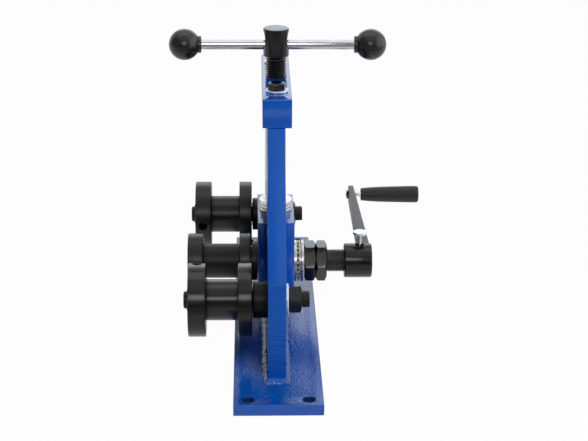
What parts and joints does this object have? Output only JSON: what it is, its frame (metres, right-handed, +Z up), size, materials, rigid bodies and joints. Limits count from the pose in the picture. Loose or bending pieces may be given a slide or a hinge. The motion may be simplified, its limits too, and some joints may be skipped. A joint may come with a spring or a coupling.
{
  "type": "ring roller",
  "caption": "Hand-cranked bench ring roller: an upright plate on a base, fixed flanged lower rollers, and a driven centre roller that a T-handled screw presses down.",
  "frame": {"origin": "centre of the underside of the base plate", "axes": "+Z up, +Y along the base towards the grip of the crank, +X from the rollers towards the crank"},
  "size_m": [0.3274, 0.51, 0.3766],
  "materials": {
    "blue_paint": "gloss enamel, slightly orange-peeled",
    "zinc_plate": "bright zinc",
    "bearing_steel": "ground",
    "bronze": "turned",
    "chrome_bar": "polished",
    "black_gloss_plastic": "gloss",
    "black_satin_plastic": "satin",
    "grey_steel": "dark oiled flat bar",
    "bright_steel": "turned",
    "black_oxide": "black oxide, turned"
  },
  "bodies": {
    "frame": {"base_plate": "blue_paint", "frame_plate": "blue_paint", "weld_bead": "blue_paint", "top_cap": "blue_paint", "cap_bolts": "black_oxide", "cap_washers": "zinc_plate", "front_axle": "black_oxide", "rear_axle": "black_oxide", "axle_washers": "zinc_plate", "axle_nuts": "black_oxide", "axle_retaining_rings": "black_oxide"},
    "slide": {"slide_block": "blue_paint", "shaft_bushes": "bronze", "screw_keeper_pins": "bearing_steel", "screw_bearing_lower_ring": "bearing_steel", "drive_bearing_block_ring": "bearing_steel"},
    "screw": {"press_screw": "black_oxide", "screw_bearing_upper_ring": "bearing_steel"},
    "screw_cage": {"screw_bearing_cage": "bearing_steel", "screw_bearing_balls": "bearing_steel"},
    "tee_handle": {"tee_bar": "chrome_bar", "tee_bar_collars": "black_oxide", "tee_bar_knobs": "black_gloss_plastic"},
    "crank": {"drive_shaft": "black_oxide", "drive_bearing_shaft_ring": "bearing_steel", "drive_washer": "bearing_steel", "inner_nut": "black_oxide", "lock_nut": "black_oxide", "crank_hub": "black_oxide", "hub_grub_screw": "black_oxide", "crank_arm": "grey_steel", "grip_pin": "bright_steel", "grip_pin_nut": "black_oxide", "grip_snap_ring": "bright_steel", "centre_spacer": "black_oxide", "centre_inner_flange": "black_oxide", "centre_sleeve": "black_oxide", "centre_outer_flange": "black_oxide", "centre_key": "bright_steel", "centre_grub_screw": "black_oxide"},
    "drive_cage": {"drive_bearing_cage": "bearing_steel", "drive_bearing_balls": "bearing_steel"},
    "thumb": {"thumb_screw": "bright_steel"},
    "grip": {"crank_grip": "black_satin_plastic"},
    "front_roller": {"front_bush": "bronze", "front_inner_flange": "black_oxide", "front_sleeve": "black_oxide", "front_outer_flange": "black_oxide", "front_grub_screw": "black_oxide"},
    "rear_roller": {"rear_bush": "bronze", "rear_inner_flange": "black_oxide", "rear_sleeve": "black_oxide", "rear_outer_flange": "black_oxide", "rear_grub_screw": "black_oxide"}
  },
  "joints": [
    {"name": "screw_turn", "type": "hinge", "parent": "slide", "child": "screw", "pos_m": [0, 0, 0.25], "axis": [0, 0, 1], "range_deg": [-1199, 13199]},
    {"name": "block_slide", "type": "slide", "parent": "frame", "child": "slide", "axis": [0, 0, 1], "range_m": [-0.01, 0.11]},
    {"name": "screw_cage_turn", "type": "hinge", "parent": "slide", "child": "screw_cage", "pos_m": [0, 0, 0.157], "axis": [0, 0, 1], "range_deg": [-600, 6600]},
    {"name": "tee_bar_slide", "type": "slide", "parent": "screw", "child": "tee_handle", "axis": [1, 0, 0], "range_m": [-0.075, 0.071]},
    {"name": "crank_turn", "type": "hinge", "parent": "slide", "child": "crank", "pos_m": [0, 0, 0.0816], "axis": [1, 0, 0], "continuous": true},
    {"name": "drive_cage_turn", "type": "hinge", "parent": "slide", "child": "drive_cage", "pos_m": [0, 0, 0.0816], "axis": [1, 0, 0], "continuous": true},
    {"name": "thumb_screw_turn", "type": "hinge", "parent": "crank", "child": "thumb", "pos_m": [0.10394, 0, 0.11], "axis": [0, 0, 1], "range_deg": [0, 1080]},
    {"name": "grip_spin", "type": "hinge", "parent": "crank", "child": "grip", "pos_m": [0.16, 0.241, 0.0816], "axis": [1, 0, 0], "continuous": true},
    {"name": "front_roller_spin", "type": "hinge", "parent": "frame", "child": "front_roller", "pos_m": [-0.06, -0.141, 0.0907], "axis": [1, 0, 0], "continuous": true},
    {"name": "rear_roller_spin", "type": "hinge", "parent": "frame", "child": "rear_roller", "pos_m": [-0.06, 0.141, 0.0907], "axis": [1, 0, 0], "continuous": true}
  ],
  "couplings": [
    {"joint": "block_slide", "follows": "screw_turn", "m_per_rad": 0.00047746},
    {"joint": "screw_cage_turn", "follows": "screw_turn", "ratio": 0.5},
    {"joint": "drive_cage_turn", "follows": "crank_turn", "ratio": 0.5}
  ]
}
